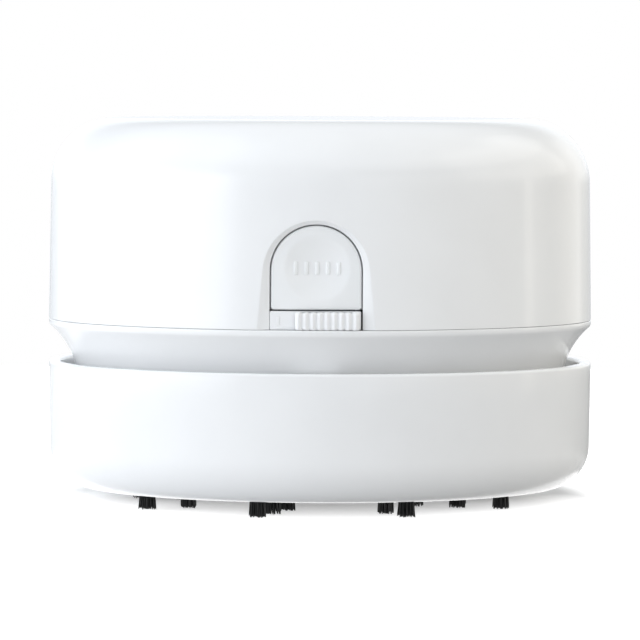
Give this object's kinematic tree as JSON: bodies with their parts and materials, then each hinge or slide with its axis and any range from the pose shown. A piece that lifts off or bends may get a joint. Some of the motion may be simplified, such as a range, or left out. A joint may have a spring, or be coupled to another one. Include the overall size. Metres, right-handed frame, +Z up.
{
  "type": "desktop mini vacuum cleaner",
  "caption": "Round battery-run desk vacuum cleaner: domed cover with arched release button and ribbed slide switch, concave neck, dust cup and radial rows of bristle tufts.",
  "frame": {"origin": "centre of the circle through the bristle tips, on the desk's surface", "axes": "+Z up along the fan's axis, -Y towards the front with the button and switch, +X towards the switch's off end"},
  "size_m": [0.085, 0.085, 0.0606],
  "materials": {
    "shell_white": "gloss",
    "inner_grey": "satin",
    "dark_plastic": "satin",
    "bristle": "satin",
    "seal": "matte",
    "felt": "matte",
    "spring_steel": "satin",
    "motor_metal": "satin",
    "cell_jacket": "satin",
    "terminal_brass": "satin",
    "board_green": "satin",
    "wire_red": "satin",
    "wire_black": "satin",
    "wire_blue": "satin"
  },
  "bodies": {
    "cup": {"dust_cup": "shell_white", "brush_row_1": "bristle", "brush_row_2": "bristle", "brush_row_3": "bristle", "brush_row_4": "bristle", "brush_row_5": "bristle", "brush_row_6": "bristle", "brush_row_7": "bristle", "brush_row_8": "bristle"},
    "upper_unit": {"neck_housing": "shell_white", "seal_ring": "seal", "filter_frame": "inner_grey", "filter_felt": "felt", "fan_cover": "inner_grey", "fan_cover_screw_1": "spring_steel", "fan_cover_screw_2": "spring_steel", "fan_cover_screw_3": "spring_steel", "motor_can": "motor_metal", "motor_end_cap": "dark_plastic", "motor_terminal_left": "terminal_brass", "motor_terminal_right": "terminal_brass", "motor_strap": "spring_steel", "strap_screw_front": "spring_steel", "strap_screw_back": "spring_steel", "battery_tray_left": "inner_grey", "battery_tray_right": "inner_grey", "battery_cell_left": "cell_jacket", "battery_cell_right": "cell_jacket", "contact_bridge": "spring_steel", "contact_plus": "spring_steel", "contact_minus": "spring_steel", "battery_spring_left": "spring_steel", "battery_spring_right": "spring_steel", "lead_red": "wire_red", "lead_black": "wire_black", "lead_blue": "wire_blue", "button_guide": "inner_grey", "button_spring": "spring_steel", "switch_track": "shell_white", "switch_board": "board_green", "slide_switch": "spring_steel"},
    "cover": {"top_cover": "shell_white"},
    "button": {"release_button": "shell_white", "latch_arm": "inner_grey"},
    "knob": {"switch_knob": "shell_white", "switch_slider": "dark_plastic"},
    "fan": {"impeller": "dark_plastic", "motor_shaft": "spring_steel"}
  },
  "joints": [
    {"name": "upper_unit_lift", "type": "slide", "parent": "cup", "child": "upper_unit", "axis": [0, 0, 1], "range_m": [0, 0.03]},
    {"name": "cover_pull", "type": "slide", "parent": "upper_unit", "child": "cover", "axis": [0, 0, 1], "range_m": [0, 0.04]},
    {"name": "button_press", "type": "slide", "parent": "upper_unit", "child": "button", "axis": [0, 1, 0], "range_m": [0, 0.002], "stiffness_N_per_m": 900, "springref_m": -0.001, "deforming": ["button_spring"]},
    {"name": "switch_slide", "type": "slide", "parent": "upper_unit", "child": "knob", "axis": [-1, 0, 0], "range_m": [0, 0.0036]},
    {"name": "fan_spin", "type": "hinge", "parent": "upper_unit", "child": "fan", "pos_m": [0, 0, 0.023], "axis": [0, 0, 1], "continuous": true}
  ]
}
